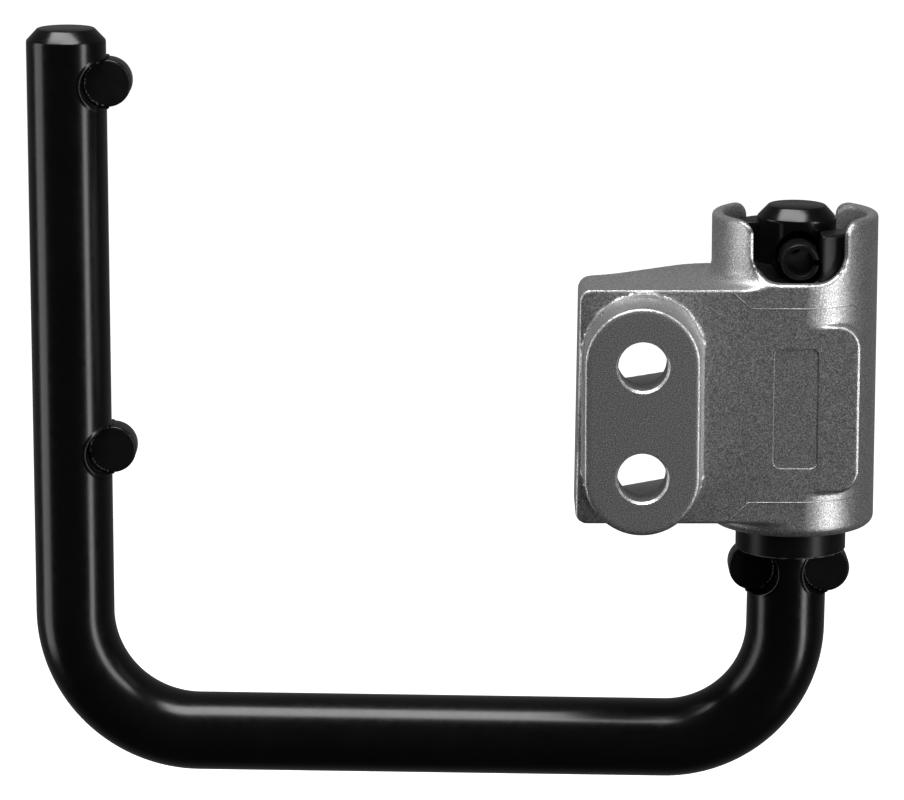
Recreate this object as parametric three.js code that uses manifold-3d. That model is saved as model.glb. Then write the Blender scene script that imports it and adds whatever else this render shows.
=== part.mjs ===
// A lift-and-turn locking bar. A round steel bar bent into a U hangs in a cast pivot housing: its long
// arm stands free on the left, and its short arm passes up through the housing's barrel. The bar is
// lifted against a spring and turned a quarter turn to free the stub pins on its arms.
//
// Millimetres, +Z up. The mounting face looks along -Y and holds the origin, midway between its two
// bolt holes. Inside the group everything is placed from the pivot: the barrel's axis, at the height
// of the bolt holes' middle.
import * as THREE from "three";
import { mergeVertices } from "three/addons/utils/BufferGeometryUtils.js";
import Module from "manifold-3d";

const wasm = await Module();
wasm.setup();

// Driving dimensions
const PIVOT_X = 39.5; // from the bolt holes' line to the barrel's axis
const PIVOT_Y = 36; // from the mounting face to the barrel's axis
const FIT = 0.3; // gap left between pieces that touch or run on each other
const PRESS = 0.15; // gap left round a pin that is driven or welded into the bar

const BAR_R = 10;
const LEFT_BEND_R = 32; // to the bar's centreline
const RIGHT_BEND_R = 30.5;
const BEND_STEPS = 9;
const LONG_ARM_X = -182.8; // the long arm's axis
const LONG_ARM_TOP = 93;
const SHORT_ARM_TOP = 48.6;
const RUN_Z = -90.8; // the bottom run's axis, under the pivot
const LEAN = THREE.MathUtils.degToRad(0.77); // the bar leans in its bore by this, about +Y
const LEAN_Z = 14.8; // the height at which the leaning arm meets the barrel's axis
const END_INSET = 2.8; // chamfer on both ends of the bar
const END_DROP = 3;

const STUB_R = 6; // the stub pins that latch, welded into the side of the bar
const LONG_STUB_OFFSET = 10.2; // sideways from the bar's axis
const LEFT_STUB_OFFSET = -8.9; // the two under the collar
const RIGHT_STUB_OFFSET = 9.9;
const STUB_FRONT = -1.8; // the stub pins' front faces, deep in pockets milled from the front
const STUB_BACK = 6.2;
const STUB_CHAMFER = 0.4;
const UPPER_STUB_Z = 79.3;
const MIDDLE_STUB_Z = -14.4;
const COLLAR_STUB_Z = -45.1;

const BARREL_R = 20.9;
const RIM_Z = 46.8;
const BARREL_BOTTOM = -33;
const LOWER_ROUND = 2.5;
const RIM_ROUND = 1;
const CUP_R = 18;
const CUP_FLOOR = 24;
const WEB_BOTTOM = 18; // the web between the cup and the spring's chamber
const WEB_BORE_R = 12.5;
const BORE_R = 14.3; // the spring's chamber, in which the collar slides
const NOTCH_HALF = 11.5; // the two windows in the cup's wall, front and back
const NOTCH_BOTTOM = 31.8;
const NOTCH_CORNER = 6.8;
const NOTCH_LIP = 3.5;

const PLATE_LEFT = -55.4;
const PLATE_TOP = 30.5;
const PLATE_BOTTOM = -29.2;
const PLATE_FRONT = -20.8;
const PLATE_CORNER = 3.5;
const PLATE_THICK = 18.6; // at the free end
const SLOPE_START = -51.8; // where the back starts to slope away to the barrel
const PAD_RIGHT = 14.4; // the raised pad on the front of the barrel
const PAD_TOP = 19;
const PAD_BOTTOM = -22;
const PAD_CORNER = 5.5;

const BOSS_HALF = 14.3; // half the mounting face's width
const BOSS_DRAFT = 1;
const HOLE_PITCH = 28;
const HOLE_R = 6.1; // for an M12 screw
const HOLE_CHAMFER = 0.6;
const BOSS_WALL = 9.5; // behind the mounting face
const POCKET_HALF = 10.2;
const RIB_HALF = 3.1; // the rib between the two pockets
const POCKET_END = 25;

const ROLL_PIN_R = 4.9;
const ROLL_PIN_BORE_R = 3.35;
const ROLL_PIN_SLOT = 2;
const ROLL_PIN_HALF = 17; // half its length
const ROLL_PIN_Z = 36.6;
const SLEEVE_BORE_R = 10.6;
const BLOCK_TOP = 43.3; // the cam sleeve's two stop blocks
const BLOCK_FACE = 5.6; // from the barrel's axis to the face that stops the roll pin
const DOWEL_R = 1.5;
const DOWEL_LENGTH = 5;

const BUSH_BORE_R = 10.4;
const BUSH_FLANGE = 2;
const COLLAR_R = 14;
const COLLAR_BORE_R = 11.1; // wide enough for the bar's lean
const COLLAR_BOTTOM = -40;
const COLLAR_TOP = -18;
const WASHER_THICK = 1.5;
const WIRE_R = 1.4;
const SPRING_TURNS = 6;

const SIDES = 48; // facets of a round of about 30 mm

// Solids

// A closed geometry as a manifold solid.
function solid(geometry) {
  const plain = geometry.clone();
  plain.deleteAttribute("normal");
  plain.deleteAttribute("uv");
  const merged = mergeVertices(plain, 1e-4);
  const index = merged.index.array;
  const triVerts = [];
  for (let i = 0; i < index.length; i += 3) {
    const [a, b, c] = [index[i], index[i + 1], index[i + 2]];
    if (a !== b && b !== c && c !== a) triVerts.push(a, b, c);
  }
  return new wasm.Manifold(
    new wasm.Mesh({
      numProp: 3,
      vertProperties: merged.attributes.position.array,
      triVerts: new Uint32Array(triVerts),
    }),
  );
}

// A manifold solid as a geometry.
function geometryOf(manifold) {
  const { vertProperties, triVerts } = manifold.getMesh();
  const geometry = new THREE.BufferGeometry();
  geometry.setAttribute("position", new THREE.BufferAttribute(vertProperties, 3));
  geometry.setIndex(new THREE.BufferAttribute(triVerts, 1));
  const flat = geometry.toNonIndexed();
  flat.computeVertexNormals();
  return flat;
}

// A profile of [radius, z] points, listed from the bottom up along the outside, turned about Z.
function turned(profile, sides = SIDES) {
  const points = profile.map(([r, z]) => new THREE.Vector2(r, z));
  return new THREE.LatheGeometry(points, sides).rotateX(Math.PI / 2);
}

function cylinder(r, bottom, top, sides = SIDES) {
  return turned([[0, bottom], [r, bottom], [r, top], [0, top]], sides);
}

function tube(inner, outer, bottom, top, sides = SIDES) {
  return turned([[inner, bottom], [outer, bottom], [outer, top], [inner, top], [inner, bottom]], sides);
}

// A turned geometry laid along Y, its z = 0 end at the front.
function alongY(geometry, x, front, z) {
  return geometry.rotateX(-Math.PI / 2).translate(x, front, z);
}

// A closed shape through [x, y, radius] corners, each rounded by its radius.
function rounded(corners) {
  const shape = new THREE.Shape();
  corners.forEach(([x, y, r = 0], i) => {
    const here = new THREE.Vector2(x, y);
    if (!r) {
      if (i) shape.lineTo(x, y);
      else shape.moveTo(x, y);
      return;
    }
    const [bx, by] = corners.at(i - 1);
    const [ax, ay] = corners[(i + 1) % corners.length];
    const back = new THREE.Vector2(bx, by).sub(here).normalize();
    const ahead = new THREE.Vector2(ax, ay).sub(here).normalize();
    const half = Math.acos(back.dot(ahead)) / 2;
    const centre = back.clone().add(ahead).normalize().multiplyScalar(r / Math.sin(half)).add(here);
    const start = back.clone().multiplyScalar(r / Math.tan(half)).add(here).sub(centre);
    const end = ahead.clone().multiplyScalar(r / Math.tan(half)).add(here).sub(centre);
    shape.absarc(centre.x, centre.y, r, start.angle(), end.angle(), back.cross(ahead) > 0);
  });
  return shape;
}

// A shape of the plan, extruded upwards.
function upright(shape, bottom, top) {
  const options = { depth: top - bottom, bevelEnabled: false, curveSegments: 5 };
  return new THREE.ExtrudeGeometry(shape, options).translate(0, 0, bottom);
}

// A shape of the front view, extruded from front to back.
function frontal(shape, front, back, more = {}) {
  const options = { depth: back - front, bevelEnabled: false, curveSegments: 6, ...more };
  return new THREE.ExtrudeGeometry(shape, options).rotateX(Math.PI / 2).translate(0, back, 0);
}

function box(x0, x1, y0, y1, z0, z1) {
  return new THREE.BoxGeometry(x1 - x0, y1 - y0, z1 - z0).translate(
    (x0 + x1) / 2,
    (y0 + y1) / 2,
    (z0 + z1) / 2,
  );
}

// The housing: barrel with its cup and windows, plate, pad and mounting boss, cast in one piece.

const BOSS_X = -PIVOT_X;
const BOSS_FRONT = -PIVOT_Y;

function barrel() {
  const step = LOWER_ROUND * 0.3;
  return turned([
    [0, BARREL_BOTTOM],
    [BARREL_R - LOWER_ROUND, BARREL_BOTTOM],
    [BARREL_R - step, BARREL_BOTTOM + step],
    [BARREL_R, BARREL_BOTTOM + LOWER_ROUND],
    [BARREL_R, RIM_Z - RIM_ROUND],
    [BARREL_R - RIM_ROUND, RIM_Z],
    [0, RIM_Z],
  ]);
}

function plate() {
  const back = PLATE_FRONT + PLATE_THICK;
  const plan = rounded([
    [0, PLATE_FRONT],
    [PLATE_LEFT, PLATE_FRONT, 2],
    [PLATE_LEFT, back, PLATE_CORNER],
    [SLOPE_START, back],
    [-BARREL_R - 5, BARREL_R - 3],
    [-BARREL_R / 2, BARREL_R - 1.5],
    [0, BARREL_R - 1],
  ]);
  const corners = rounded([
    [PLATE_LEFT, PLATE_BOTTOM, PLATE_CORNER],
    [1, PLATE_BOTTOM],
    [1, PLATE_TOP],
    [PLATE_LEFT, PLATE_TOP, PLATE_CORNER],
  ]);
  return solid(upright(plan, PLATE_BOTTOM, PLATE_TOP)).intersect(
    solid(frontal(corners, PLATE_FRONT - 1, BARREL_R + 1)),
  );
}

function pad() {
  const outline = rounded([
    [-1, PAD_BOTTOM],
    [PAD_RIGHT, PAD_BOTTOM, PAD_CORNER],
    [PAD_RIGHT, PAD_TOP, PAD_CORNER],
    [-1, PAD_TOP],
  ]);
  return solid(frontal(outline, PLATE_FRONT, -BARREL_R / 2));
}

// The boss stands on the plate, with a draft that narrows it to the mounting face.
function boss() {
  const half = BOSS_HALF + BOSS_DRAFT;
  const tall = HOLE_PITCH / 2 + half;
  const outline = rounded([
    [BOSS_X - half, -tall, half],
    [BOSS_X + half, -tall, half],
    [BOSS_X + half, tall, half],
    [BOSS_X - half, tall, half],
  ]);
  const draft = PLATE_FRONT - BOSS_FRONT;
  return solid(
    frontal(outline, PLATE_FRONT, PLATE_FRONT + 1, {
      bevelEnabled: true,
      bevelThickness: draft,
      bevelSize: BOSS_DRAFT,
      bevelOffset: -BOSS_DRAFT,
      bevelSegments: 1,
      curveSegments: 8,
    }),
  ).intersect(solid(box(PLATE_LEFT, 0, BOSS_FRONT, PLATE_FRONT + 5, -2 * BOSS_HALF - 2, 2 * BOSS_HALF + 2)));
}

// Inside the barrel: the cup, the web's bore and the spring's chamber.
function barrelCavity() {
  return solid(
    turned([
      [0, BARREL_BOTTOM - 1],
      [BORE_R, BARREL_BOTTOM - 1],
      [BORE_R, WEB_BOTTOM],
      [WEB_BORE_R, WEB_BOTTOM],
      [WEB_BORE_R, CUP_FLOOR],
      [CUP_R, CUP_FLOOR],
      [CUP_R, RIM_Z + 1],
      [0, RIM_Z + 1],
    ]),
  );
}

function windows() {
  const lipZ = RIM_Z + 0.05;
  const side = NOTCH_HALF + NOTCH_LIP + 1;
  const outline = rounded([
    [-side, RIM_Z + 3],
    [-side, lipZ],
    [-NOTCH_HALF, lipZ, NOTCH_LIP],
    [-NOTCH_HALF, NOTCH_BOTTOM, NOTCH_CORNER],
    [NOTCH_HALF, NOTCH_BOTTOM, NOTCH_CORNER],
    [NOTCH_HALF, lipZ, NOTCH_LIP],
    [side, lipZ],
    [side, RIM_Z + 3],
  ]);
  return solid(frontal(outline, -BARREL_R - 1, BARREL_R + 1));
}

function boltHole(z) {
  const profile = [
    [0, -1],
    [HOLE_R + HOLE_CHAMFER + 1, -1],
    [HOLE_R, HOLE_CHAMFER],
    [HOLE_R, BOSS_WALL + 2],
    [0, BOSS_WALL + 2],
  ];
  return solid(alongY(turned(profile, 32), BOSS_X, BOSS_FRONT, z));
}

// A pocket behind the boss, open at the back, for the screw's head or nut.
function pocket(side) {
  const [low, high] = side > 0 ? [RIB_HALF, POCKET_END] : [-POCKET_END, -RIB_HALF];
  const outline = rounded([
    [BOSS_X - POCKET_HALF, low, 3],
    [BOSS_X + POCKET_HALF, low, 3],
    [BOSS_X + POCKET_HALF, high, 3],
    [BOSS_X - POCKET_HALF, high, 3],
  ]);
  return solid(frontal(outline, BOSS_FRONT + BOSS_WALL, BARREL_R + 1));
}

function housing() {
  const body = plate().add(solid(barrel())).add(pad()).add(boss());
  return body
    .subtract(barrelCavity())
    .subtract(windows())
    .subtract(boltHole(HOLE_PITCH / 2))
    .subtract(boltHole(-HOLE_PITCH / 2))
    .subtract(pocket(1))
    .subtract(pocket(-1))
    .subtract(dowelHole(-1))
    .subtract(dowelHole(1));
}

// In the cup: the cam sleeve, whose two blocks stop the roll pin at both ends of the quarter turn.
// Its shelf lies just under the pin. Two dowels in the cup's floor keep it from turning.

const SLEEVE_BOTTOM = CUP_FLOOR + FIT;
const SHELF_Z = ROLL_PIN_Z - ROLL_PIN_R - FIT;
const DOWEL_X = (WEB_BORE_R + CUP_R) / 2;
const DOWEL_BOTTOM = CUP_FLOOR - DOWEL_LENGTH / 2;

function dowelHole(side) {
  const half = DOWEL_LENGTH / 2 + FIT;
  const hole = cylinder(DOWEL_R + PRESS, CUP_FLOOR - half, CUP_FLOOR + half, 16);
  return solid(hole.translate(side * DOWEL_X, 0, 0));
}

function dowel(side) {
  return cylinder(DOWEL_R, DOWEL_BOTTOM, DOWEL_BOTTOM + DOWEL_LENGTH, 16).translate(side * DOWEL_X, 0, 0);
}

function camSleeve() {
  const outer = CUP_R - FIT;
  const far = CUP_R + 1;
  const ring = solid(tube(SLEEVE_BORE_R, outer, SLEEVE_BOTTOM, BLOCK_TOP));
  const shelf = solid(box(-far, far, -far, far, SLEEVE_BOTTOM - 1, SHELF_Z));
  const frontBlock = solid(box(BLOCK_FACE, far, -far, -BLOCK_FACE, SHELF_Z - 1, BLOCK_TOP + 1));
  const backBlock = solid(box(-far, -BLOCK_FACE, BLOCK_FACE, far, SHELF_Z - 1, BLOCK_TOP + 1));
  return ring
    .intersect(shelf.add(frontBlock).add(backBlock))
    .subtract(dowelHole(-1))
    .subtract(dowelHole(1));
}

// In the barrel: the guide bush in the web, the spring under its flange, and the thrust washer.

const FLANGE_BOTTOM = WEB_BOTTOM - FIT - BUSH_FLANGE;
const WASHER_BOTTOM = COLLAR_TOP + FIT;
const WASHER_TOP = WASHER_BOTTOM + WASHER_THICK;

function guideBush() {
  const outer = WEB_BORE_R - FIT;
  const flange = BORE_R - FIT;
  return turned([
    [BUSH_BORE_R, FLANGE_BOTTOM],
    [flange, FLANGE_BOTTOM],
    [flange, FLANGE_BOTTOM + BUSH_FLANGE],
    [outer, FLANGE_BOTTOM + BUSH_FLANGE],
    [outer, CUP_FLOOR],
    [BUSH_BORE_R, CUP_FLOOR],
    [BUSH_BORE_R, FLANGE_BOTTOM],
  ]);
}

// The helix of the spring's wire, from the washer up to the bush's flange.
class Helix extends THREE.Curve {
  getPoint(t) {
    const bottom = WASHER_TOP + FIT + WIRE_R;
    const top = FLANGE_BOTTOM - FIT - WIRE_R;
    const r = (BUSH_BORE_R + BORE_R) / 2;
    const turn = 2 * Math.PI * SPRING_TURNS * t;
    return new THREE.Vector3(r * Math.cos(turn), r * Math.sin(turn), bottom + (top - bottom) * t);
  }
}

function spring() {
  const wire = new THREE.Shape().absarc(0, 0, WIRE_R, 0, 2 * Math.PI);
  const options = { steps: 14 * SPRING_TURNS, extrudePath: new Helix(), curveSegments: 4 };
  return new THREE.ExtrudeGeometry(wire, options);
}

// The collar slides in the barrel's bore and sits on two stub pins, which its lower edge is let over.
function collar() {
  const front = STUB_FRONT - FIT;
  const depth = STUB_BACK + FIT - front;
  const notch = ([x, z]) => solid(alongY(cylinder(STUB_R + FIT, 0, depth, 32), x, front, z));
  return solid(tube(COLLAR_BORE_R, COLLAR_R, COLLAR_BOTTOM, COLLAR_TOP))
    .subtract(notch(STUBS.left_collar_stub_pin))
    .subtract(notch(STUBS.right_collar_stub_pin));
}

// The bar and the pins in it.

// A point [x, z] beside the short arm's axis, which leans: so far up, and so far to the right of it.
function onShortArm(z, right = 0) {
  return [(z - LEAN_Z) * Math.tan(LEAN) + right * Math.cos(LEAN), z - right * Math.sin(LEAN)];
}

// The bar's centreline: straight from corner to corner, with a bend at each corner between.
// Its stations lie at the two ends and along the bends only.
class BarPath extends THREE.Curve {
  constructor(corners) {
    super();
    const points = corners.map(([x, z]) => new THREE.Vector3(x, 0, z));
    const course = (i) => points[i + 1].clone().sub(points[i]).normalize();
    this.stations = [{ point: points[0], tangent: course(0) }];
    const radii = [LEFT_BEND_R, RIGHT_BEND_R];
    radii.forEach((r, i) => this.bend(points[i + 1], course(i), course(i + 1), r));
    this.stations.push({ point: points.at(-1), tangent: course(points.length - 2) });
  }
  bend(corner, before, after, r) {
    const angle = before.angleTo(after);
    const start = corner.clone().addScaledVector(before, -r * Math.tan(angle / 2));
    const inward = after.clone().addScaledVector(before, -Math.cos(angle)).normalize();
    for (let i = 0; i <= BEND_STEPS; i++) {
      const [c, s] = [Math.cos((angle * i) / BEND_STEPS), Math.sin((angle * i) / BEND_STEPS)];
      this.stations.push({
        point: start.clone().addScaledVector(before, r * s).addScaledVector(inward, r * (1 - c)),
        tangent: before.clone().multiplyScalar(c).addScaledVector(inward, s),
      });
    }
  }
  get steps() {
    return this.stations.length - 1;
  }
  getPointAt(u) {
    return this.stations[Math.round(u * this.steps)].point.clone();
  }
  getTangentAt(u) {
    return this.stations[Math.round(u * this.steps)].tangent.clone();
  }
}

// Cuts the chamfer on the end of an arm that leans by an angle.
function endChamfer([x, z], lean) {
  const low = -END_DROP - END_DROP / END_INSET;
  const profile = [
    [BAR_R + 1, low],
    [BAR_R + 1, 1],
    [BAR_R - END_INSET - END_INSET / END_DROP, 1],
    [BAR_R + 1, low],
  ];
  return solid(turned(profile, 40).rotateY(lean).translate(x, 0, z));
}

// The pocket that a stub pin is let into, or the pin itself.
function stubPocket(x, z) {
  const front = STUB_FRONT - BAR_R;
  return solid(alongY(cylinder(STUB_R + PRESS, 0, STUB_BACK + PRESS - front, 32), x, front, z));
}

function stubPin() {
  const length = STUB_BACK - STUB_FRONT;
  const profile = [
    [0, 0],
    [STUB_R - STUB_CHAMFER, 0],
    [STUB_R, STUB_CHAMFER],
    [STUB_R, length],
    [0, length],
  ];
  return alongY(turned(profile, 32), 0, 0, 0);
}

const STUBS = {
  upper_stub_pin: [LONG_ARM_X + LONG_STUB_OFFSET, UPPER_STUB_Z],
  middle_stub_pin: [LONG_ARM_X + LONG_STUB_OFFSET, MIDDLE_STUB_Z],
  left_collar_stub_pin: onShortArm(COLLAR_STUB_Z, LEFT_STUB_OFFSET),
  right_collar_stub_pin: onShortArm(COLLAR_STUB_Z, RIGHT_STUB_OFFSET),
};

function uBar() {
  const longTop = [LONG_ARM_X, LONG_ARM_TOP];
  const shortTop = onShortArm(SHORT_ARM_TOP);
  const path = new BarPath([
    longTop,
    [LONG_ARM_X, RUN_Z - LONG_ARM_X * Math.tan(LEAN)],
    onShortArm(RUN_Z),
    shortTop,
  ]);
  const section = new THREE.Shape().absarc(0, 0, BAR_R, 0, 2 * Math.PI);
  const options = { steps: path.steps, extrudePath: path, curveSegments: 18 };
  const [pinX, pinZ] = onShortArm(ROLL_PIN_Z);
  const rollPinHole = cylinder(ROLL_PIN_R + PRESS, 0, 4 * BAR_R, 32);
  const bar = solid(new THREE.ExtrudeGeometry(section, options))
    .subtract(endChamfer(longTop, 0))
    .subtract(endChamfer(shortTop, LEAN))
    .subtract(solid(alongY(rollPinHole, pinX, -2 * BAR_R, pinZ)));
  return Object.values(STUBS).reduce((cut, [x, z]) => cut.subtract(stubPocket(x, z)), bar);
}

// A slotted spring pin, its slot on the right.
function rollPin() {
  const outer = Math.asin(ROLL_PIN_SLOT / 2 / ROLL_PIN_R);
  const inner = Math.asin(ROLL_PIN_SLOT / 2 / ROLL_PIN_BORE_R);
  const section = new THREE.Shape();
  section.absarc(0, 0, ROLL_PIN_R, outer, 2 * Math.PI - outer, false);
  section.absarc(0, 0, ROLL_PIN_BORE_R, 2 * Math.PI - inner, inner, true);
  const chamfer = 0.35;
  return frontal(section, -ROLL_PIN_HALF + chamfer, ROLL_PIN_HALF - chamfer, {
    bevelEnabled: true,
    bevelThickness: chamfer,
    bevelSize: chamfer,
    bevelOffset: -chamfer,
    bevelSegments: 1,
    curveSegments: 14,
  });
}

// Materials

function metal(color, roughness, metalness) {
  return new THREE.MeshStandardMaterial({ color, roughness, metalness });
}
const castSteel = metal(0x6f7072, 0.5, 0.9);
const blackCoat = metal(0x17181a, 0.35, 0.5);
const blackSteel = metal(0x1d1e20, 0.4, 0.7);
const springSteel = metal(0x85878a, 0.35, 1);
const bronze = metal(0x9a7038, 0.4, 1);

// The assembly

function piece(name, geometry, material) {
  const mesh = new THREE.Mesh(geometry, material);
  mesh.name = name;
  return mesh;
}

const fixed = new THREE.Group();
fixed.add(
  piece("housing", geometryOf(housing()), castSteel),
  piece("cam_sleeve", geometryOf(camSleeve()), blackSteel),
  piece("cam_dowel_left", dowel(-1), springSteel),
  piece("cam_dowel_right", dowel(1), springSteel),
  piece("guide_bush", guideBush(), bronze),
  piece("compression_spring", spring(), springSteel),
);

const moving = new THREE.Group();
const rollPinMesh = piece("roll_pin", rollPin(), blackSteel);
const [rollPinX, rollPinZ] = onShortArm(ROLL_PIN_Z);
rollPinMesh.position.set(rollPinX, 0, rollPinZ);
moving.add(
  piece("u_bar", geometryOf(uBar()), blackCoat),
  rollPinMesh,
  piece("collar", geometryOf(collar()), blackSteel),
  piece("thrust_washer", tube(COLLAR_BORE_R, BORE_R - FIT, WASHER_BOTTOM, WASHER_TOP), bronze),
);
for (const [name, [x, z]] of Object.entries(STUBS)) {
  const stub = piece(name, stubPin(), blackCoat);
  stub.position.set(x, STUB_FRONT, z);
  moving.add(stub);
}

const lock = new THREE.Group();
lock.add(fixed, moving);
lock.position.set(PIVOT_X, PIVOT_Y, 0);

export default lock;
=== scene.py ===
"""A lift-and-turn locking bar: a black bar bent into a U, hung in a cast steel pivot housing."""

import math

import bpy
import numpy as np
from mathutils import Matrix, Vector


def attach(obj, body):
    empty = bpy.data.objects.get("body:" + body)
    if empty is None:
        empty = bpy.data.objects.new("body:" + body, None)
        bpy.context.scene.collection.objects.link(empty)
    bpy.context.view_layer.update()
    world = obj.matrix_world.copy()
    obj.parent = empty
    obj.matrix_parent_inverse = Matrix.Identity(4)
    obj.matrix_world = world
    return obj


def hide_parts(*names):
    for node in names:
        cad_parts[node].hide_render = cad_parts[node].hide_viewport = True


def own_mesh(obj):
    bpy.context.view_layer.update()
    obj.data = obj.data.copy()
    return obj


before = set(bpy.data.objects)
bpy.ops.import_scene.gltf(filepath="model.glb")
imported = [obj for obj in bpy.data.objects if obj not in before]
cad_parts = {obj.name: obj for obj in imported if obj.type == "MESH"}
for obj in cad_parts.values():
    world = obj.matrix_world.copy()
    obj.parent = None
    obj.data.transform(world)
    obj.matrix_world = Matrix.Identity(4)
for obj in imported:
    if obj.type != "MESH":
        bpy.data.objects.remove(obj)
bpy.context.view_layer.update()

# Every shape below is in millimetres from the barrel's axis: X to the right, Y to the back, Z up.
MM = 0.001
PIVOT = np.array([39.5, 36.0, 0.0])  # in the row frame

# Camera
AIM = (-86.34, 0.0, -1.81)
DISTANCE = 1192.8
PITCH = math.radians(11.86)
YAW = math.radians(-0.289)
LENS = 187.2

# Bar: the long arm on the left, the run at the bottom, the short arm up through the barrel
BAR_R = 10.0
LEFT_BEND_R, RIGHT_BEND_R = 32.0, 30.5
LEAN = math.radians(0.77)
LEAN_Z = 14.8  # the height at which the leaning short arm meets the barrel's axis
LONG_X, LONG_TOP = -182.8, 93.0
SHORT_TOP, RUN_Z = 48.6, -90.8
STUB_R, STUB_FRONT, STUB_BACK = 6.0, -1.8, 6.2
STUB_GAP = 0.15  # round a stub pin in its pocket, and round the roll pin in its hole
ROLL_R, ROLL_BORE, ROLL_HALF, ROLL_Z, ROLL_SLOT = 4.9, 3.35, 17.0, 36.6, 1.6

# Housing: barrel
BARREL_R, BARREL_BOTTOM, RIM_Z = 20.9, -33.0, 46.8
CUP_R, CUP_FLOOR, WEB_BOTTOM, WEB_R, BORE_R = 18.0, 24.0, 18.0, 12.5, 14.3
WINDOW_HALF, WINDOW_BOTTOM, WINDOW_CORNER, WINDOW_LIP = 11.4, 31.8, 6.8, 3.5

# Housing: plate, and the pad on the front of the barrel
PLATE_FRONT, PLATE_LEFT, PLATE_TOP, PLATE_BOTTOM = -20.8, -55.4, 30.5, -29.2
PLATE_BACK, PLATE_DRAFT = -2.0, 0.014
# The back slopes away to the barrel from SLOPE_START; SLOPE_LENGTH is the length of (SLOPE_RISE, 1).
SLOPE_START, SLOPE_RISE, SLOPE_LENGTH = -51.6, 0.78, 1.268
PAD_RIGHT, PAD_TOP, PAD_BOTTOM, PAD_CORNER = 15.5, 21.3, -21.3, 5.5

# Housing: boss, a stadium that stands on a step, with a pocket behind each bolt hole
BOSS_X, BOSS_FRONT, BOSS_R, BOSS_STRAIGHT = -39.2, -36.0, 14.35, 14.3
STEP_X, STEP_FRONT, STEP_R = -38.7, -22.6, 15.2
HOLE_Z, HOLE_R, HOLE_CHAMFER, HOLE_DEPTH = 14.0, 6.1, 0.6, 12.0
POCKET_X, POCKET_HALF, POCKET_FRONT, POCKET_END, RIB_HALF = -39.5, 10.2, -26.5, 25.0, 3.1

# Cam sleeve
SLEEVE_GAP, SLEEVE_BORE = 0.3, 10.6
BLOCK_FACE, BLOCK_TOP = 5.6, 43.3
SHELF_Z, HUMP_RISE = 31.4, 3.5
HUMP_TURNS = (20, 24, 34, 38, 52, 56, 66, 70)  # degrees from the front, to the left
HUMP_SHAPE = (0, 0.4, 3.1, HUMP_RISE, HUMP_RISE, 3.1, 0.4, 0)

# Inside the barrel: (bottom, top) of each piece
COLLAR_Z, WASHER_Z, BUSH_Z = (-40.0, -18.0), (-17.7, -16.2), (15.7, 24.0)
COLLAR_BORE, COLLAR_R = 11.1, 14.0
BUSH_BORE, BUSH_R, FLANGE_R, FLANGE_TOP = 10.4, 12.2, 14.0, 17.7
WIRE_R, COIL_R, COIL_TURNS, LIFT = 1.4, 12.35, 7.0, 5


def beside(z, right=0.0):
    """(x, z) of a point beside the short arm's leaning axis."""
    return (z - LEAN_Z) * math.tan(LEAN) + right * math.cos(LEAN), z - right * math.sin(LEAN)


STUBS = {
    "upper_stub_pin": (LONG_X + 10.2, 79.3, LONG_X),
    "middle_stub_pin": (LONG_X + 10.2, -14.4, LONG_X),
    "left_collar_stub_pin": (*beside(-45.1, -8.9), beside(-45.1)[0]),
    "right_collar_stub_pin": (*beside(-45.1, 9.9), beside(-45.1)[0]),
}

# Meshes


def add(name, verts, faces):
    """A mesh object from points in millimetres from the pivot."""
    mesh = bpy.data.meshes.new(name)
    mesh.from_pydata((np.asarray(verts, float) + PIVOT) * MM, [], faces)
    mesh.validate()
    obj = bpy.data.objects.new(name, mesh)
    bpy.context.scene.collection.objects.link(obj)
    return obj


def settle(obj, body, material, nodes, angle):
    """Gives a piece its finish and its body, and hides the CAD nodes it stands for."""
    mesh = obj.data
    mesh.polygons.foreach_set("use_smooth", [True] * len(mesh.polygons))
    mesh.set_sharp_from_angle(angle=math.radians(angle))
    if not mesh.materials:
        mesh.materials.append(material)
    else:
        mesh.materials[0] = material
    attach(obj, body)
    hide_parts(*nodes)


def combine(obj, tool, operation="DIFFERENCE"):
    """Cuts a tool mesh out of a piece, or joins it on, and removes the tool."""
    modifier = obj.modifiers.new("combine", "BOOLEAN")
    modifier.object, modifier.operation, modifier.solver = tool, operation, "MANIFOLD"
    graph = bpy.context.evaluated_depsgraph_get()
    mesh = bpy.data.meshes.new_from_object(obj.evaluated_get(graph))
    obj.modifiers.clear()
    obj.data = mesh
    bpy.data.objects.remove(tool)


def turned(profile, sides=96, closed=False):
    """Points and faces of a (radius, z) profile turned about Z, listed up its outside."""
    verts, rings, faces = [], [], []
    angles = [2 * math.pi * i / sides for i in range(sides)]
    for r, z in profile:
        start = len(verts)
        if r < 1e-6:
            verts.append((0, 0, z))
            rings.append([start] * sides)
        else:
            verts += [(r * math.cos(a), r * math.sin(a), z) for a in angles]
            rings.append(list(range(start, start + sides)))
    for low, high in zip(rings, rings[1:] + (rings[:1] if closed else [])):
        for i in range(sides):
            j = (i + 1) % sides
            face = list(dict.fromkeys([low[i], low[j], high[j], high[i]]))
            if len(face) > 2:
                faces.append(face)
    return np.array(verts, float), faces


def along_y(verts, x, y, z):
    """Turned points laid along Y, with their z = 0 end at (x, y, z)."""
    return np.asarray(verts)[:, [0, 2, 1]] * [1, 1, -1] + [x, y, z]


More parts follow.
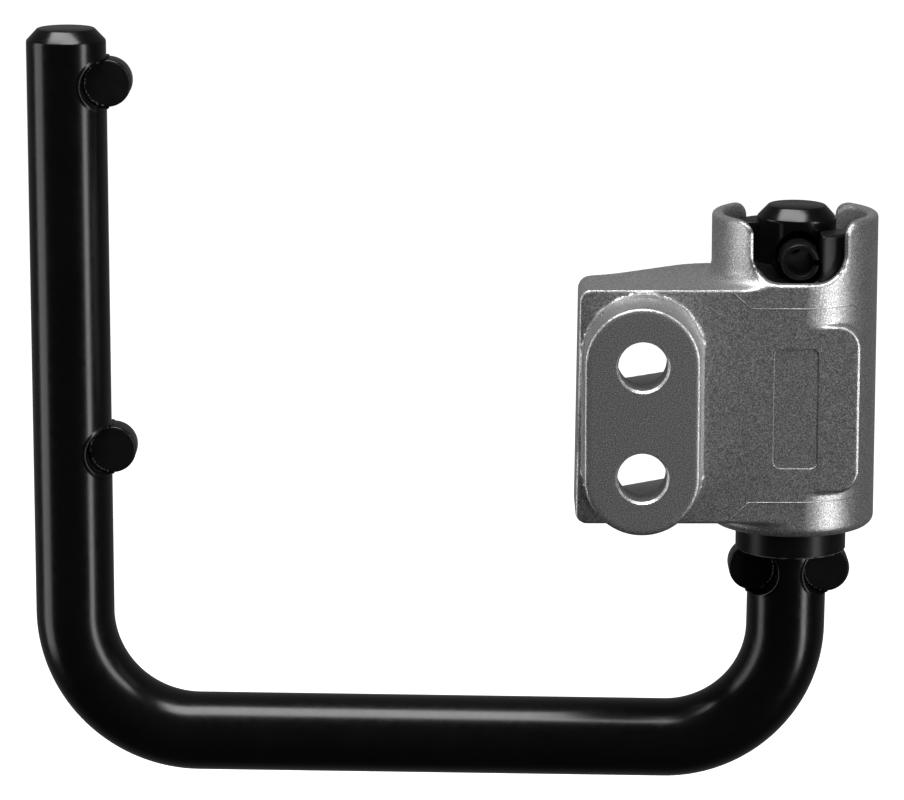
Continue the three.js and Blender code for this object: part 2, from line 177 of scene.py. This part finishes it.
def rounded(corners, steps=5):
    """Points of a closed outline through (x, y, radius) corners."""
    out = []
    for i, (x, y, r) in enumerate(corners):
        here = Vector((x, y))
        back = (Vector(corners[i - 1][:2]) - here).normalized()
        ahead = (Vector(corners[(i + 1) % len(corners)][:2]) - here).normalized()
        half = math.acos(max(-1, min(1, back.dot(ahead)))) / 2
        centre = here + (back + ahead).normalized() * (r / math.sin(half))
        a = here + back * (r / math.tan(half)) - centre
        b = here + ahead * (r / math.tan(half)) - centre
        sweep = a.angle_signed(b)
        turn = math.atan2(a.y, a.x)
        for k in range(steps + 1):
            t = turn - sweep * k / steps
            out.append((centre.x + r * math.cos(t), centre.y + r * math.sin(t)))
    return out


def ring_band(rings):
    """Points and faces joining rings of equal length, closed at both ends."""
    n = len(rings[0])
    last = (len(rings) - 1) * n
    faces = [tuple(range(n - 1, -1, -1)), tuple(range(last, last + n))]
    for a in range(0, last, n):
        for i in range(n):
            j = (i + 1) % n
            faces.append((a + i, a + j, a + n + j, a + n + i))
    return np.concatenate(rings), faces


# Fields: negative inside. Cast shapes are the zero surface of a field.


def join(a, b, r):
    """Either of two shapes, with a fillet of radius r between them."""
    return np.maximum(r, np.minimum(a, b)) - np.hypot(np.maximum(r - a, 0), np.maximum(r - b, 0))


def meet(a, b, r):
    """What is in both shapes, with the edge between them rounded by r."""
    return np.minimum(-r, np.maximum(a, b)) + np.hypot(np.maximum(r + a, 0), np.maximum(r + b, 0))


def skin(field, low, high, step):
    """The zero surface of a field as quads: surface nets, their points moved on to the surface."""
    axes = [np.arange(a, b + step, step) for a, b in zip(low, high)]
    d = field(*np.meshgrid(*axes, indexing="ij"))
    cells = np.array(d.shape) - 1
    quads, marks = [], []
    for a in range(3):
        b, c = (a + 1) % 3, (a + 2) % 3
        first, second = [slice(None)] * 3, [slice(None)] * 3
        first[a], second[a] = slice(None, -1), slice(1, None)
        d0, d1 = d[tuple(first)], d[tuple(second)]
        at = np.argwhere((d0 < 0) != (d1 < 0))
        at = at[(at[:, b] > 0) & (at[:, b] < cells[b]) & (at[:, c] > 0) & (at[:, c] < cells[c])]
        v0, v1 = d0[tuple(at.T)], d1[tuple(at.T)]
        mark = at.astype(float)
        mark[:, a] += v0 / (v0 - v1)
        quad = []
        for db, dc in ((0, 0), (1, 0), (1, 1), (0, 1)):
            cell = at.copy()
            cell[:, b] -= db
            cell[:, c] -= dc
            quad.append(np.ravel_multi_index(cell.T, cells))
        quad = np.stack(quad, 1)
        quad[v0 > 0] = quad[v0 > 0][:, ::-1]
        quads.append(quad)
        marks.append(np.repeat(mark, 4, 0))
    marks = np.concatenate(marks)
    index = np.unique(np.concatenate(quads).ravel(), return_inverse=True)[1]
    count = np.bincount(index)
    p = np.stack([np.bincount(index, marks[:, k]) / count for k in range(3)], 1) * step + low
    h = 0.04  # half the distance over which the field's slope is taken
    for _ in range(3):
        value = field(*p.T)
        slope = np.stack(
            [(field(*(p + e).T) - field(*(p - e).T)) / (2 * h) for e in np.eye(3) * h], 1
        )
        move = slope * (value / np.maximum((slope**2).sum(1), 0.2))[:, None]
        p -= np.clip(move, -0.4 * step, 0.4 * step)
    return p, index.reshape(-1, 4)


def housing_field(x, y, z):
    r = np.hypot(x, y)
    front = PLATE_FRONT - y

    left = PLATE_LEFT - x + PLATE_DRAFT * (z - PLATE_BOTTOM)
    top = join(z - PLATE_TOP, r - BARREL_R, 4)
    bottom = join(PLATE_BOTTOM - z, r - BARREL_R, 1.5)
    face = meet(meet(left, top, 3), bottom, 3)
    slope = ((SLOPE_START - x) * SLOPE_RISE + y - PLATE_BACK) / SLOPE_LENGTH
    back = meet(join(y - PLATE_BACK, slope, 6), y - 20 - 0.087 * x, 3)
    plate = np.maximum(meet(meet(face, front, 0.8), back, 1), x - 2)

    pad = meet(meet(x - PAD_RIGHT, z - PAD_TOP, PAD_CORNER), PAD_BOTTOM - z, PAD_CORNER)
    pad = np.maximum(meet(pad, front, 0.9), np.maximum(y + 6, -1 - x))
    body = join(np.minimum(r - BARREL_R, plate), pad, 0.6)
    body = np.maximum(np.maximum(body, front), y - BARREL_R)

    drafted = np.clip((y - BOSS_FRONT) / (PLATE_FRONT - BOSS_FRONT), 0, 1)
    beyond = np.maximum(abs(z) - BOSS_STRAIGHT, 0)
    boss = np.hypot(x - BOSS_X - 0.5 * drafted, beyond) - BOSS_R - 0.3 * drafted
    step = meet(np.hypot(x - STEP_X, beyond) - STEP_R, STEP_FRONT - y, 1.3)
    boss = join(meet(boss, BOSS_FRONT - y, 1), step, 0.6)
    body = join(body, np.maximum(boss, y + 14), 0.35)

    window = meet(abs(x) - WINDOW_HALF, WINDOW_BOTTOM - z, WINDOW_CORNER)
    body = meet(body, meet(z - RIM_Z, -window, WINDOW_LIP), 1)
    body = meet(body, BARREL_BOTTOM - z, 2.5)
    cup = meet(r - CUP_R, CUP_FLOOR - z, 1)
    body = meet(body, -cup, 0.9)
    bore = np.minimum(r - WEB_R, np.maximum(r - BORE_R, z - WEB_BOTTOM))
    body = meet(body, -bore, 0.5)
    middle, half = (POCKET_END + RIB_HALF) / 2, (POCKET_END - RIB_HALF) / 2
    pocket = meet(abs(x - POCKET_X) - POCKET_HALF, abs(abs(z) - middle) - half, 3)
    return meet(body, -meet(pocket, POCKET_FRONT - y, 1.5), 0.6)


def sleeve_field(x, y, z):
    """The cam sleeve: its back half is its front half turned about Z."""
    flip = np.where(y > 0, -1.0, 1.0)
    x, y = x * flip, y * flip
    r = np.hypot(x, y)
    turn = np.degrees(np.arctan2(-x, -y))
    height = SHELF_Z + np.interp(turn, HUMP_TURNS, HUMP_SHAPE)
    block = meet(meet(BLOCK_FACE - x, y + BLOCK_FACE, 0.7), z - BLOCK_TOP, 0.7)
    top = join(z - height, block, 3)
    ring = meet(np.maximum(r - CUP_R + SLEEVE_GAP, SLEEVE_BORE - r), top, 0.6)
    return np.maximum(ring, CUP_FLOOR + SLEEVE_GAP - z)


# Materials


def grey(value):
    return (value, value, value)


class Finish:
    """A material's node tree, with the few kinds of node that the finishes share."""

    def __init__(self, name, **inputs):
        self.material = bpy.data.materials.new(name)
        self.material.use_nodes = True
        self.tree = self.material.node_tree
        self.shader = self.tree.nodes["Principled BSDF"]
        for key, value in inputs.items():
            self.shader.inputs[key.replace("_", " ")].default_value = value
        self.coords = self.tree.nodes.new("ShaderNodeTexCoord").outputs["Object"]

    def link(self, source, target):
        self.tree.links.new(source, target)

    def noise(self, per_mm, detail=3.0, roughness=0.6, stretch=None):
        source = self.coords
        if stretch:
            mapping = self.tree.nodes.new("ShaderNodeMapping")
            mapping.inputs["Scale"].default_value = stretch
            self.link(source, mapping.inputs["Vector"])
            source = mapping.outputs["Vector"]
        node = self.tree.nodes.new("ShaderNodeTexNoise")
        node.inputs["Scale"].default_value = per_mm / MM
        node.inputs["Detail"].default_value = detail
        node.inputs["Roughness"].default_value = roughness
        self.link(source, node.inputs["Vector"])
        return node.outputs["Fac"]

    def ramp(self, source, stops):
        node = self.tree.nodes.new("ShaderNodeValToRGB")
        elements = node.color_ramp.elements
        while len(elements) < len(stops):
            elements.new(0.5)
        for element, (place, colour) in zip(elements, stops):
            element.position = place
            element.color = (*colour, 1)
        self.link(source, node.inputs["Fac"])
        return node.outputs["Color"]

    def range(self, source, low, high):
        """Spreads the middle of a noise over low to high."""
        node = self.tree.nodes.new("ShaderNodeMapRange")
        for key, value in zip(("From Min", "From Max", "To Min", "To Max"), (0.3, 0.7, low, high)):
            node.inputs[key].default_value = value
        self.link(source, node.inputs["Value"])
        return node.outputs["Result"]

    def bump(self, source, depth_mm, strength=1.0, before=None):
        node = self.tree.nodes.new("ShaderNodeBump")
        node.inputs["Strength"].default_value = strength
        node.inputs["Distance"].default_value = depth_mm * MM
        self.link(source, node.inputs["Height"])
        if before:
            self.link(before, node.inputs["Normal"])
        return node.outputs["Normal"]

    def set(self, name, source):
        self.link(source, self.shader.inputs[name])


def cast_steel():
    f = Finish("cast_housing", Metallic=0.9)
    grain = f.noise(3.2, 3, 0.75)
    f.set("Base Color", f.ramp(grain, [(0.36, grey(0.19)), (0.5, grey(0.41)), (0.64, grey(0.82))]))
    f.set("Roughness", f.range(f.noise(2.6, 2), 0.33, 0.46))
    f.set("Normal", f.bump(grain, 0.07, 0.6, f.bump(f.noise(0.2, 2), 0.06, 0.3)))
    return f.material


def black_coat():
    f = Finish("black_coat", Specular_IOR_Level=0.34)
    cloud = f.noise(0.05, 3)
    f.set("Base Color", f.ramp(cloud, [(0.35, grey(0.002)), (0.7, grey(0.003))]))
    f.set("Roughness", f.range(f.noise(0.4, 4), 0.19, 0.25))
    f.set("Normal", f.bump(f.noise(1.2, 3), 0.01, 0.3))
    return f.material


def black_steel(name="black_steel", low=0.28, high=0.38, shade=0.006):
    f = Finish(name, Metallic=0.1, Specular_IOR_Level=0.2)
    cloud = f.noise(0.3, 4)
    f.set("Base Color", f.ramp(cloud, [(0.3, grey(shade * 0.7)), (0.7, grey(shade * 1.4))]))
    f.set("Roughness", f.range(f.noise(1.5, 3), low, high))
    f.set("Normal", f.bump(f.noise(2.0, 3), 0.02, 0.4))
    return f.material


def worn_edge():
    f = Finish("worn_edge", Metallic=0.9)
    chips = f.noise(0.55, 5, 0.75)
    f.set("Base Color", f.ramp(chips, [(0.42, grey(0.02)), (0.56, grey(0.75))]))
    f.set("Roughness", f.range(chips, 0.3, 0.45))
    f.set("Normal", f.bump(chips, 0.15, 0.8))
    return f.material


def plain_metal(name, dark, light, rough):
    f = Finish(name, Metallic=1.0)
    f.set("Base Color", f.ramp(f.noise(0.5, 4), [(0.3, dark), (0.7, light)]))
    f.set("Roughness", f.range(f.noise(1.2, 3), rough - 0.06, rough + 0.08))
    f.set("Normal", f.bump(f.noise(1.0, 3, 0.6, (1, 1, 8)), 0.015, 0.4))
    return f.material


CAST = cast_steel()
COAT = black_coat()
STEEL = black_steel()
# Rougher black steel: a real dull finish on the stub pins' faces, and, darker than STEEL, painted
# shade inside the roll pin's bore
DULL_AND_BORE_SHADE = black_steel("dull_black_and_bore_shade", 0.45, 0.6, 0.004)
WORN = worn_edge()
SPRING = plain_metal("spring_steel", (0.3, 0.3, 0.31), (0.46, 0.46, 0.47), 0.34)
BRONZE = plain_metal("bronze", (0.36, 0.24, 0.11), (0.52, 0.37, 0.19), 0.36)

# Housing


def frontal(points, y):
    """Points (x, z) of the front view, at a depth y."""
    x, z = np.array(points).T
    return np.column_stack([x, np.broadcast_to(y, len(x)), z])


def prism(outline, front, back, spread):
    """A shape of the front view from front to back, its front end grown by spread."""
    points = np.array(outline)
    centre = (points.min(0) + points.max(0)) / 2
    half = (points.max(0) - points.min(0)) / 2
    grown = centre + (points - centre) * (half + spread) / half
    return ring_band([frontal(points, back), frontal(grown, front)])


def tube(path, radius, sides=10):
    """A round tube along points."""
    path = np.array(path, float)
    rings = []
    for i, p in enumerate(path):
        t = path[min(i + 1, len(path) - 1)] - path[max(i - 1, 0)]
        t /= np.linalg.norm(t)
        u = np.cross(t, [0, 0, 1]) if abs(t[2]) < 0.9 else np.cross(t, [0, 1, 0])
        u /= np.linalg.norm(u)
        v = np.cross(t, u)
        a = np.linspace(0, 2 * math.pi, sides, endpoint=False)[:, None]
        rings.append(p + radius * (np.cos(a) * u + np.sin(a) * v))
    return ring_band(rings)


def bolt_hole(z):
    rim = HOLE_R + HOLE_CHAMFER
    profile = [(0, -2), (rim + 2, -2), (rim, 0), (HOLE_R, HOLE_CHAMFER)]
    profile += [(HOLE_R, HOLE_DEPTH), (0, HOLE_DEPTH)]
    verts, faces = turned(profile)
    return add("hole", along_y(verts, BOSS_X, BOSS_FRONT, z), faces)


def cartouche():
    """The sunk frame on the housing's front, left blank."""
    left, right, low, high, corner = -6, 5, -14.9, 15.5, 1.8
    corners = ((left, low), (right, low), (right, high), (left, high))
    outline = rounded([(x, z, corner) for x, z in corners])
    return add("cartouche", *prism(outline, PLATE_FRONT - 0.5, PLATE_FRONT + 0.35, 0.3))


def parting_ridge(height, rise):
    """The thin ridge that the mould left along the plate and round the barrel, where it fades."""
    path = [(-16.2, PLATE_FRONT, height + rise), (-12, PLATE_FRONT, height)]
    path.append((-0.4, PLATE_FRONT - 0.05, height))
    count = 40
    for k in range(count):
        angle = math.radians(-88 + 2 * k)
        r = BARREL_R - 0.2 * max(0, k / (count - 1) - 0.5)
        path.append((r * math.cos(angle), r * math.sin(angle), height))
    return add("parting", *tube(path, 0.12))


def make_housing():
    verts, faces = skin(housing_field, (-57, -37.5, -34.5), (22.5, 22.5, 47.5), 0.62)
    housing = add("housing_casting", verts, faces)
    for cutter in (bolt_hole(HOLE_Z), bolt_hole(-HOLE_Z), cartouche()):
        combine(housing, cutter)
    for height, rise in ((25.7, 3.9), (-23.6, -3.9)):
        combine(housing, parting_ridge(height, rise), "UNION")
    settle(housing, "pivot_housing", CAST, ["housing"], 38)


def make_sleeve():
    verts, faces = skin(sleeve_field, (-18.6, -18.6, 23.4), (18.6, 18.6, 44.4), 0.4)
    sleeve = add("cam_sleeve_ramped", verts, faces)
    settle(sleeve, "pivot_housing", STEEL, ["cam_sleeve"], 40)


# Bar


def centreline():
    """Stations of the bar from the long arm's top to the short arm's: (point, tangent, radius)."""
    run_left = (LONG_X, RUN_Z - LONG_X * math.tan(LEAN))
    corners = [(LONG_X, LONG_TOP), run_left, beside(RUN_Z), beside(SHORT_TOP)]
    corners = [Vector((x, 0, z)) for x, z in corners]
    legs = [(b - a).normalized() for a, b in zip(corners, corners[1:])]
    # The chamfer on both ends, with soft edges: (distance from the end, radius)
    end = [(0, 7.05), (0.1, 7.27), (0.3, 7.49), (2.8, 9.82), (3.05, 9.95), (3.4, BAR_R)]
    out = [(corners[0] + legs[0] * d, legs[0], r) for d, r in end]

    def straight(a, b, spacing):
        n = max(1, round((b - a).length / spacing))
        return [(a.lerp(b, k / n), (b - a).normalized(), BAR_R) for k in range(1, n)]

    for i, radius in ((1, LEFT_BEND_R), (2, RIGHT_BEND_R)):
        before, after = legs[i - 1], legs[i]
        angle = before.angle(after)
        start = corners[i] - before * (radius * math.tan(angle / 2))
        inward = (after - before * math.cos(angle)).normalized()
        out += straight(out[-1][0], start, 1.4 if i == 1 else 6)
        for k in range(37):
            a = angle * k / 36
            p = start + before * (radius * math.sin(a)) + inward * (radius * (1 - math.cos(a)))
            out.append((p, before * math.cos(a) + inward * math.sin(a), BAR_R))
    last = [(corners[3] - legs[2] * d, legs[2], r) for d, r in reversed(end)]
    return out + straight(out[-1][0], last[0][0], 1.2) + last


def pocket_cutter(x, z, axis_x):
    """Cuts the round pocket that a stub pin lies in, with a soft lip at the bar's surface."""
    radius, lip, sides, lip_steps = STUB_R + STUB_GAP, 0.45, 120, 5
    a = np.linspace(0, 2 * math.pi, sides, endpoint=False)

    def ring(r, y):
        return frontal(np.column_stack([x + r * np.cos(a), z + r * np.sin(a)]), y)

    surface = -np.sqrt(np.maximum(BAR_R**2 - (x + radius * np.cos(a) - axis_x) ** 2, 0))
    rings = [ring(radius, STUB_BACK + STUB_GAP)]
    for k in range(lip_steps + 1):
        t = math.pi / 2 * k / lip_steps
        rings.append(ring(radius + lip * (1 - math.cos(t)), surface + lip * (1 - math.sin(t))))
    outer = radius + lip + 0.6
    return ring_band([*rings, ring(outer, surface - 0.12), ring(outer, -12.0)])


def roll_pin_hole():
    """Cuts the roll pin's cross hole through the bar, countersunk at both ends."""
    x, z = beside(ROLL_Z)
    hole, sink, depth = ROLL_R + STUB_GAP, 7.0, 2.9
    half = [(0, -2), (sink + 1.2, -2), (sink, 0), (hole + 0.1, depth), (hole, depth + 0.2)]
    profile = half + [(r, 2 * BAR_R - d) for r, d in reversed(half)]
    verts, faces = turned(profile)
    return add("hole", along_y(verts, x, -BAR_R, z), faces)


def make_bar():
    a = np.linspace(0, 2 * math.pi, 128, endpoint=False)[:, None]
    rings = []
    for point, tangent, r in centreline():
        side = np.array(tangent.cross(Vector((0, 1, 0))))
        rings.append(np.array(point) + r * (np.cos(a) * np.array([0, 1, 0]) + np.sin(a) * side))
    bar = add("lock_bar_rod", *ring_band(rings))
    for place in STUBS.values():
        combine(bar, add("pocket", *pocket_cutter(*place)))
    combine(bar, roll_pin_hole())
    settle(bar, "lock_bar", COAT, ["u_bar"], 30)


def paint(obj, material, chosen):
    """Gives a second material to the faces that a test picks."""
    obj.data.materials.append(material)
    for face in obj.data.polygons:
        if chosen(face):
            face.material_index = 1


WELD_ROUND = np.linspace(0, 2 * math.pi, 12, endpoint=False)


def weld_ring(x, z, side, rng):
    """The weld round the inner half of a stub pin's face, uneven in height and width."""
    stations, spare = 90, 20
    a = np.linspace(math.radians(98), math.radians(262), stations)
    if side < 0:
        a = math.pi - a
    wobble = np.convolve(rng.normal(size=stations + spare), np.ones(5) / 5, "valid")[:stations]
    taper = np.sin(np.linspace(0.25, math.pi - 0.25, stations)) ** 0.4
    widths = (0.62 + 0.2 * wobble) * taper
    r = STUB_R - 0.25
    circle = np.column_stack([x + r * np.cos(a), z + r * np.sin(a)])
    path = frontal(circle, STUB_FRONT - 0.1 - 0.25 * wobble)
    b = WELD_ROUND[:, None]
    rings = []
    for point, angle, width in zip(path, a, widths):
        outward = np.array([math.cos(angle), 0, math.sin(angle)])
        rings.append(point + width * (np.cos(b) * outward * side + np.sin(b) * np.array([0, 1, 0])))
    return add("weld", *ring_band(rings))


def weld_bead(x, z, rng):
    """A bead of weld along a stub pin's side, thin at both ends."""
    stations = 14
    widths = 0.62 + 0.14 * rng.normal(size=stations).clip(-1, 1)
    widths[[0, -1]] = 0.25
    round_x, round_z = np.cos(WELD_ROUND), np.sin(WELD_ROUND)
    rings = []
    for y, width in zip(np.linspace(STUB_FRONT + 0.6, STUB_BACK - 0.8, stations), widths):
        rings.append(frontal(np.column_stack([x + width * round_x, z - width * round_z]), y))
    return add("weld", *ring_band(rings))


def make_stub(name, x, z, axis_x):
    """A stub pin with the weld that holds it in its pocket."""
    length, edge = STUB_BACK - STUB_FRONT, 0.6
    profile = [(0, 0), (STUB_R - edge - 0.15, 0), (STUB_R - edge, 0)]
    profile += [(STUB_R - 0.28, 0.09), (STUB_R - 0.09, 0.28), (STUB_R, edge)]
    profile += [(STUB_R, length - 0.4), (STUB_R - 0.4, length), (0, length)]
    verts, faces = turned(profile)
    pin = add(name + "_turned", along_y(verts, x, STUB_FRONT, z), faces)
    side = 1 if x > axis_x else -1
    rng = np.random.default_rng(round(1000 + 10 * z))
    combine(pin, weld_ring(x, z, side, rng), "UNION")
    for up in (1, -1):
        combine(pin, weld_bead(axis_x + side * 9.95, z + up * 5.95, rng), "UNION")
    settle(pin, "lock_bar", COAT, [name], 40)
    paint(pin, DULL_AND_BORE_SHADE, lambda face: face.normal.y < -0.95)


def make_roll_pin():
    """A slotted tube with rounded ends. Its back end is drawn in, so no light comes through."""
    x, z = beside(ROLL_Z)
    # (distance from the end, outer radius, inner radius)
    end = [(0, 4.35, 3.5), (0.08, 4.5, 3.42), (0.3, 4.66, 3.37)]
    end += [(0.9, 4.84, ROLL_BORE), (1.6, ROLL_R, ROLL_BORE)]
    stations = [(-ROLL_HALF + d, outer, inner) for d, outer, inner in end]
    stations += [(ROLL_HALF - d, outer, min(inner, 2.4 + d)) for d, outer, inner in reversed(end)]
    arc, verts, faces = 72, [], []
    for y, outer, inner in stations:
        for r, order in ((outer, 1), (inner, -1)):
            gap = math.asin(ROLL_SLOT / 2 / r)
            angles = np.linspace(gap, 2 * math.pi - gap, arc)[::order]
            verts += [(x + r * math.cos(t), y, z + r * math.sin(t)) for t in angles]
    ring = 2 * arc
    last = (len(stations) - 1) * ring
    for a in range(0, last, ring):
        for i in range(ring):
            j = (i + 1) % ring
            faces.append((a + i, a + ring + i, a + ring + j, a + j))
    for i in range(arc - 1):
        j = ring - 1 - i
        faces.append((i, i + 1, j - 1, j))
        faces.append((last + i, last + j, last + j - 1, last + i + 1))
    pin = add("roll_pin_slotted", verts, faces)
    settle(pin, "lock_bar", STEEL, ["roll_pin"], 35)

    def hollow(face):
        out = face.center / MM - Vector(PIVOT) - Vector((x, 0, z))
        return out.x * face.normal.x + out.z * face.normal.z < -0.5

    # The inside of the tube gets the darker dull black: painted shade in the bore, besides a rougher
    # finish
    paint(pin, DULL_AND_BORE_SHADE, hollow)


# Collar and what is inside the barrel


def turned_ring(name, profile, cutters=(), sides=96):
    verts, faces = turned(profile, sides, closed=True)
    piece = add(name, verts, faces)
    for cutter in cutters:
        combine(piece, cutter)
    return piece


def notch(name):
    """Cuts the collar's lower edge free of a stub pin."""
    x, z, _ = STUBS[name]
    gap, depth = 0.3, 8.7
    verts, faces = turned([(0, 0), (STUB_R + gap, 0), (STUB_R + gap, depth), (0, depth)])
    return add("cutter", along_y(verts, x, STUB_FRONT - gap, z), faces)


def make_collar():
    low, high = COLLAR_Z
    profile = [(COLLAR_BORE, high - 0.5), (COLLAR_BORE, low + 0.5), (COLLAR_BORE + 0.5, low)]
    profile += [(COLLAR_R - 0.45, low), (COLLAR_R, low + 0.4), (COLLAR_R, high - 0.6)]
    profile += [(COLLAR_R - 0.6, high), (COLLAR_BORE + 0.5, high)]
    notches = (notch(name) for name in ("left_collar_stub_pin", "right_collar_stub_pin"))
    collar = turned_ring("collar_turned", profile, notches, 128)
    settle(collar, "lock_bar", STEEL, ["collar"], 32)

    def lower_edge(face):
        out = face.center / MM - Vector(PIVOT)
        outside = math.hypot(out.x, out.y) > COLLAR_R - 0.5
        return out.z < low + 0.45 and outside and abs(face.normal.z) > 0.2

    paint(collar, WORN, lower_edge)


def make_bush():
    """The guide bush, whose flange under the web is the spring's upper seat."""
    low, high = BUSH_Z
    profile = [(BUSH_BORE, high - 0.4), (BUSH_BORE, low + 0.3), (BUSH_BORE + 0.3, low)]
    profile += [(FLANGE_R - 0.4, low), (FLANGE_R, low + 0.4)]
    profile += [(FLANGE_R, FLANGE_TOP - 0.3), (FLANGE_R - 0.3, FLANGE_TOP), (BUSH_R, FLANGE_TOP)]
    profile += [(BUSH_R, high - 0.3), (BUSH_R - 0.3, high), (BUSH_BORE + 0.4, high)]
    bush = turned_ring("guide_bush_turned", profile)
    settle(bush, "pivot_housing", BRONZE, ["guide_bush"], 32)


def make_washer():
    low, high = WASHER_Z
    inner, outer, edge = COLLAR_BORE, COLLAR_R, 0.2
    profile = [(inner, high - edge), (inner, low + edge), (inner + edge, low)]
    profile += [(outer - edge, low), (outer, low + edge), (outer, high - edge)]
    profile += [(outer - edge, high), (inner + edge, high)]
    washer = turned_ring("thrust_washer_turned", profile)
    settle(washer, "spring_seat", BRONZE, ["thrust_washer"], 32)


def make_spring():
    """The spring: its end turns lie nearly flat on the washer and under the bush."""
    low, high = WASHER_Z[1], BUSH_Z[0]
    length = high - low
    steps = int(COIL_TURNS * 40)
    path = []
    for k in range(steps + 1):
        turn = COIL_TURNS * k / steps
        rise = np.interp(turn, [0, 0.8, COIL_TURNS - 0.8, COIL_TURNS], [0, 0.06, 0.94, 1])
        a = 2 * math.pi * turn
        z = low + WIRE_R + (length - 2 * WIRE_R) * rise
        path.append((COIL_R * math.cos(a), COIL_R * math.sin(a), z))
    spring = add("spring_coil", *tube(path, WIRE_R, 14))
    settle(spring, "pivot_housing", SPRING, ["compression_spring"], 60)
    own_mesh(spring)


def coat_dowels():
    for dowel in ("cam_dowel_left", "cam_dowel_right"):
        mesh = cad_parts[dowel].data
        mesh.materials.clear()
        mesh.materials.append(SPRING)


make_housing()
make_sleeve()
make_bar()
for stub_name, stub_place in STUBS.items():
    make_stub(stub_name, *stub_place)
make_roll_pin()
make_collar()
make_bush()
make_washer()
make_spring()
coat_dowels()

# Stage, in metres

FLOOR_Z = -0.42
BOX_DISTANCE = 1.3


def row(point):
    """A point in millimetres from the pivot, in the row frame in metres."""
    return Vector((np.array(point) + PIVOT) * MM)


def soft_box(name, azimuth, elevation, width, height, power):
    """An area light that looks at the object from an azimuth, 0 in front and 90 on the right."""
    a, e = math.radians(azimuth), math.radians(elevation)
    away = Vector((math.sin(a) * math.cos(e), -math.cos(a) * math.cos(e), math.sin(e)))
    light = bpy.data.lights.new(name, "AREA")
    light.shape, light.size, light.size_y, light.energy = "RECTANGLE", width, height, power
    obj = bpy.data.objects.new(name, light)
    obj.location = row((-80, 0, 0)) + away * BOX_DISTANCE
    obj.rotation_euler = away.to_track_quat("Z", "Y").to_euler()
    bpy.context.scene.collection.objects.link(obj)


def make_floor():
    """A plain floor that fills the picture and casts nothing back on the object."""
    bpy.ops.mesh.primitive_plane_add(size=24, location=(0, 3, FLOOR_Z))
    floor = bpy.context.object
    floor.name = "floor"
    f = Finish("floor", Roughness=0.9)
    f.shader.inputs["Base Color"].default_value = (0.9, 0.9, 0.9, 1)
    f.shader.inputs["Emission Color"].default_value = (1, 1, 1, 1)
    f.shader.inputs["Emission Strength"].default_value = 0.95
    floor.data.materials.append(f.material)
    floor.visible_glossy = floor.visible_diffuse = floor.visible_shadow = False


def make_world():
    """Dim light all round, a little less dim from behind."""
    world = bpy.data.worlds.new("studio")
    bpy.context.scene.world = world
    world.use_nodes = True
    nodes, links = world.node_tree.nodes, world.node_tree.links
    coords = nodes.new("ShaderNodeTexCoord")
    split = nodes.new("ShaderNodeSeparateXYZ")
    behind = nodes.new("ShaderNodeMapRange")
    for key, value in zip(("From Min", "From Max", "To Min", "To Max"), (0.0, 0.9, 0.03, 0.16)):
        behind.inputs[key].default_value = value
    links.new(coords.outputs["Generated"], split.inputs["Vector"])
    links.new(split.outputs["Y"], behind.inputs["Value"])
    links.new(behind.outputs["Result"], nodes["Background"].inputs["Strength"])
    nodes["Background"].inputs["Color"].default_value = (1, 1, 1, 1)


def make_camera():
    data = bpy.data.cameras.new("camera")
    data.lens, data.sensor_width, data.clip_start, data.clip_end = LENS, 36, 0.05, 60
    camera = bpy.data.objects.new("camera", data)
    level = math.cos(PITCH)
    forward = Vector((math.sin(YAW) * level, math.cos(YAW) * level, -math.sin(PITCH)))
    camera.location = row(AIM) - forward * (DISTANCE * MM)
    camera.rotation_euler = forward.to_track_quat("-Z", "Y").to_euler()
    bpy.context.scene.collection.objects.link(camera)
    bpy.context.scene.camera = camera
    bpy.context.scene.view_settings.view_transform = "Standard"


make_floor()
make_world()
soft_box("left_box", -84, 2, 0.6, 1.5, 8)
soft_box("right_box", 54, 4, 0.3, 1.5, 11)
soft_box("top_box", -24, 74, 1.4, 0.6, 28)
make_camera()
